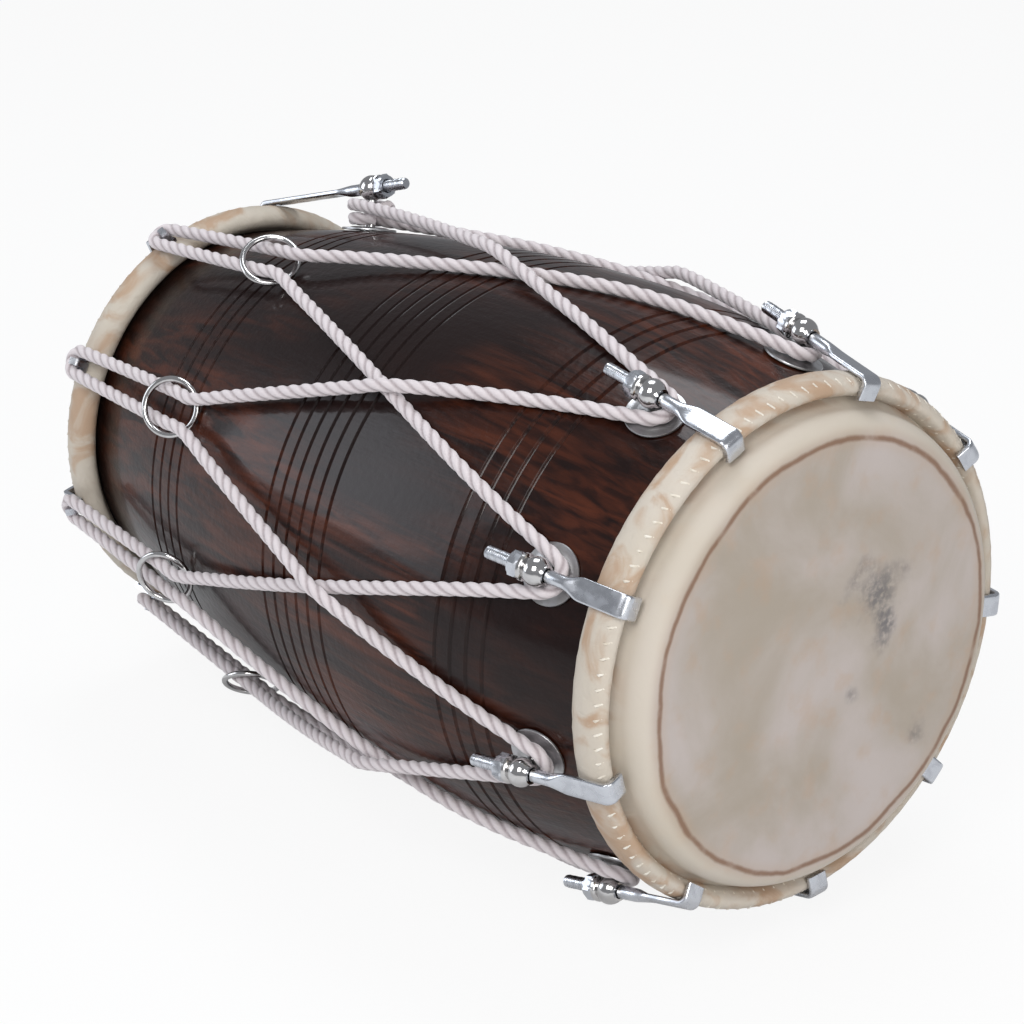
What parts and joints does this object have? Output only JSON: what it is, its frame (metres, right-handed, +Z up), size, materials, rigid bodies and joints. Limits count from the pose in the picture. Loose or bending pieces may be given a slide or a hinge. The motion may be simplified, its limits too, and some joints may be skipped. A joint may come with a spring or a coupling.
{
  "type": "dholak",
  "caption": "Two-headed wooden barrel drum, laced with rope through slide rings and tuned by hooked bolts at the bass end, lying on its side.",
  "frame": {"origin": "centre of the bounding box in X and Y, on the surface that the drum lies on", "axes": "+X from the treble end to the bass end, +Z up; the barrel's axis is pitched about 1.4 degrees from X as the drum settles"},
  "size_m": [0.4512, 0.2828, 0.2794],
  "materials": {
    "lacquered_wood": "high gloss dark red-brown lacquer",
    "rawhide": "matt goat hide",
    "cotton_rope": "twisted white cotton",
    "zinc_plate": "bright zinc plate",
    "nickel_plate": "polished nickel plate",
    "galvanised_steel": "dull galvanised"
  },
  "bodies": {
    "drum": {"anchor_eye_bolt": "nickel_plate", "anchor_washer": "galvanised_steel", "bass_head": "rawhide", "cup_washer_1": "galvanised_steel", "cup_washer_2": "galvanised_steel", "cup_washer_3": "galvanised_steel", "cup_washer_4": "galvanised_steel", "cup_washer_5": "galvanised_steel", "cup_washer_6": "galvanised_steel", "cup_washer_7": "galvanised_steel", "cup_washer_8": "galvanised_steel", "cup_washer_9": "galvanised_steel", "eye_bolt_1": "nickel_plate", "eye_bolt_2": "nickel_plate", "eye_bolt_3": "nickel_plate", "eye_bolt_4": "nickel_plate", "eye_bolt_5": "nickel_plate", "eye_bolt_6": "nickel_plate", "eye_bolt_7": "nickel_plate", "eye_bolt_8": "nickel_plate", "eye_bolt_9": "nickel_plate", "lacing_rope": "cotton_rope", "rope_clip_2": "zinc_plate", "rope_clip_3": "zinc_plate", "rope_clip_4": "zinc_plate", "rope_clip_5": "zinc_plate", "rope_clip_6": "zinc_plate", "rope_clip_7": "zinc_plate", "rope_clip_8": "zinc_plate", "rope_clip_9": "zinc_plate", "shell": "lacquered_wood", "treble_head": "rawhide"},
    "tuning_hook_1": {"tuning_hook_1": "zinc_plate"},
    "hook_nut_1": {"hook_nut_1": "zinc_plate"},
    "tuning_hook_2": {"tuning_hook_2": "zinc_plate"},
    "hook_nut_2": {"hook_nut_2": "zinc_plate"},
    "tuning_hook_3": {"tuning_hook_3": "zinc_plate"},
    "hook_nut_3": {"hook_nut_3": "zinc_plate"},
    "tuning_hook_4": {"tuning_hook_4": "zinc_plate"},
    "hook_nut_4": {"hook_nut_4": "zinc_plate"},
    "tuning_hook_5": {"tuning_hook_5": "zinc_plate"},
    "hook_nut_5": {"hook_nut_5": "zinc_plate"},
    "tuning_hook_6": {"tuning_hook_6": "zinc_plate"},
    "hook_nut_6": {"hook_nut_6": "zinc_plate"},
    "tuning_hook_7": {"tuning_hook_7": "zinc_plate"},
    "hook_nut_7": {"hook_nut_7": "zinc_plate"},
    "tuning_hook_8": {"tuning_hook_8": "zinc_plate"},
    "hook_nut_8": {"hook_nut_8": "zinc_plate"},
    "tuning_hook_9": {"tuning_hook_9": "zinc_plate"},
    "hook_nut_9": {"hook_nut_9": "zinc_plate"},
    "anchor_hook": {"anchor_hook": "zinc_plate"},
    "anchor_nut": {"anchor_nut": "zinc_plate"},
    "slide_ring_2": {"slide_ring_2": "nickel_plate"},
    "slide_ring_3": {"slide_ring_3": "nickel_plate"},
    "slide_ring_4": {"slide_ring_4": "nickel_plate"},
    "slide_ring_5": {"slide_ring_5": "nickel_plate"},
    "slide_ring_6": {"slide_ring_6": "nickel_plate"},
    "slide_ring_7": {"slide_ring_7": "nickel_plate"},
    "slide_ring_8": {"slide_ring_8": "nickel_plate"},
    "slide_ring_9": {"slide_ring_9": "nickel_plate"}
  },
  "joints": [
    {"name": "hook_nut_1_turn", "type": "hinge", "parent": "drum", "child": "hook_nut_1", "pos_m": [0.15782, 0.04049, 0.26861], "axis": [-0.9809, 0.0635, 0.184], "range_deg": [0, 2165]},
    {"name": "tuning_hook_1_travel", "type": "slide", "parent": "drum", "child": "tuning_hook_1", "axis": [0.9809, -0.0635, -0.184], "range_m": [0, 0.006]},
    {"name": "hook_nut_2_turn", "type": "hinge", "parent": "drum", "child": "hook_nut_2", "pos_m": [0.15793, -0.05111, 0.26386], "axis": [-0.9807, -0.0846, 0.1763], "range_deg": [0, 2165]},
    {"name": "tuning_hook_2_travel", "type": "slide", "parent": "drum", "child": "tuning_hook_2", "axis": [0.9807, 0.0846, -0.1763], "range_m": [0, 0.006]},
    {"name": "hook_nut_3_turn", "type": "hinge", "parent": "drum", "child": "hook_nut_3", "pos_m": [0.15942, -0.11823, 0.20136], "axis": [-0.9783, -0.1931, 0.0753], "range_deg": [0, 2165]},
    {"name": "tuning_hook_3_travel", "type": "slide", "parent": "drum", "child": "tuning_hook_3", "axis": [0.9783, 0.1931, -0.0753], "range_m": [0, 0.006]},
    {"name": "hook_nut_4_turn", "type": "hinge", "parent": "drum", "child": "hook_nut_4", "pos_m": [0.16158, -0.12945, 0.11035], "axis": [-0.9748, -0.2112, -0.0718], "range_deg": [0, 2165]},
    {"name": "tuning_hook_4_travel", "type": "slide", "parent": "drum", "child": "tuning_hook_4", "axis": [0.9748, 0.2112, 0.0718], "range_m": [0, 0.006]},
    {"name": "hook_nut_5_turn", "type": "hinge", "parent": "drum", "child": "hook_nut_5", "pos_m": [0.1634, -0.07954, 0.03342], "axis": [-0.9718, -0.1305, -0.1962], "range_deg": [0, 2165]},
    {"name": "tuning_hook_5_travel", "type": "slide", "parent": "drum", "child": "tuning_hook_5", "axis": [0.9718, 0.1305, 0.1962], "range_m": [0, 0.006]},
    {"name": "hook_nut_6_turn", "type": "hinge", "parent": "drum", "child": "hook_nut_6", "pos_m": [0.16404, 0.00816, 0.00656], "axis": [-0.9708, 0.0112, -0.2396], "range_deg": [0, 2165]},
    {"name": "tuning_hook_6_travel", "type": "slide", "parent": "drum", "child": "tuning_hook_6", "axis": [0.9708, -0.0112, 0.2396], "range_m": [0, 0.006]},
    {"name": "hook_nut_7_turn", "type": "hinge", "parent": "drum", "child": "hook_nut_7", "pos_m": [0.16319, 0.09261, 0.04235], "axis": [-0.9722, 0.1477, -0.1817], "range_deg": [0, 2165]},
    {"name": "tuning_hook_7_travel", "type": "slide", "parent": "drum", "child": "tuning_hook_7", "axis": [0.9722, -0.1477, 0.1817], "range_m": [0, 0.006]},
    {"name": "hook_nut_8_turn", "type": "hinge", "parent": "drum", "child": "hook_nut_8", "pos_m": [0.16125, 0.1343, 0.12403], "axis": [-0.9753, 0.2151, -0.0497], "range_deg": [0, 2165]},
    {"name": "tuning_hook_8_travel", "type": "slide", "parent": "drum", "child": "tuning_hook_8", "axis": [0.9753, -0.2151, 0.0497], "range_m": [0, 0.006]},
    {"name": "hook_nut_9_turn", "type": "hinge", "parent": "drum", "child": "hook_nut_9", "pos_m": [0.15913, 0.11371, 0.21338], "axis": [-0.9788, 0.1818, 0.0947], "range_deg": [0, 2165]},
    {"name": "tuning_hook_9_travel", "type": "slide", "parent": "drum", "child": "tuning_hook_9", "axis": [0.9788, -0.1818, -0.0947], "range_m": [0, 0.006]},
    {"name": "anchor_nut_turn", "type": "hinge", "parent": "drum", "child": "anchor_nut", "pos_m": [-0.12916, 0.04067, 0.26238], "axis": [0.9468, 0.0879, 0.3097], "range_deg": [0, 2165]},
    {"name": "anchor_hook_travel", "type": "slide", "parent": "drum", "child": "anchor_hook", "axis": [-0.9468, -0.0879, -0.3097], "range_m": [0, 0.006]},
    {"name": "slide_ring_2_slide", "type": "slide", "parent": "drum", "child": "slide_ring_2", "axis": [-0.9892, 0.0487, -0.1384], "range_m": [0, 0.06]},
    {"name": "slide_ring_3_slide", "type": "slide", "parent": "drum", "child": "slide_ring_3", "axis": [-0.9906, 0.1111, -0.0802], "range_m": [0, 0.06]},
    {"name": "slide_ring_4_slide", "type": "slide", "parent": "drum", "child": "slide_ring_4", "axis": [-0.9926, 0.1216, 0.0044], "range_m": [0, 0.06]},
    {"name": "slide_ring_5_slide", "type": "slide", "parent": "drum", "child": "slide_ring_5", "axis": [-0.9943, 0.0751, 0.076], "range_m": [0, 0.06]},
    {"name": "slide_ring_6_slide", "type": "slide", "parent": "drum", "child": "slide_ring_6", "axis": [-0.9949, -0.0065, 0.101], "range_m": [0, 0.06]},
    {"name": "slide_ring_7_slide", "type": "slide", "parent": "drum", "child": "slide_ring_7", "axis": [-0.9941, -0.085, 0.0677], "range_m": [0, 0.06]},
    {"name": "slide_ring_8_slide", "type": "slide", "parent": "drum", "child": "slide_ring_8", "axis": [-0.9923, -0.1238, -0.0083], "range_m": [0, 0.06]},
    {"name": "slide_ring_9_slide", "type": "slide", "parent": "drum", "child": "slide_ring_9", "axis": [-0.9903, -0.1047, -0.0914], "range_m": [0, 0.06]}
  ],
  "couplings": [
    {"joint": "hook_nut_1_turn", "follows": "tuning_hook_1_travel", "rad_per_m": 6283.2},
    {"joint": "hook_nut_2_turn", "follows": "tuning_hook_2_travel", "rad_per_m": 6283.2},
    {"joint": "hook_nut_3_turn", "follows": "tuning_hook_3_travel", "rad_per_m": 6283.2},
    {"joint": "hook_nut_4_turn", "follows": "tuning_hook_4_travel", "rad_per_m": 6283.2},
    {"joint": "hook_nut_5_turn", "follows": "tuning_hook_5_travel", "rad_per_m": 6283.2},
    {"joint": "hook_nut_6_turn", "follows": "tuning_hook_6_travel", "rad_per_m": 6283.2},
    {"joint": "hook_nut_7_turn", "follows": "tuning_hook_7_travel", "rad_per_m": 6283.2},
    {"joint": "hook_nut_8_turn", "follows": "tuning_hook_8_travel", "rad_per_m": 6283.2},
    {"joint": "hook_nut_9_turn", "follows": "tuning_hook_9_travel", "rad_per_m": 6283.2},
    {"joint": "anchor_nut_turn", "follows": "anchor_hook_travel", "rad_per_m": 6283.2}
  ]
}
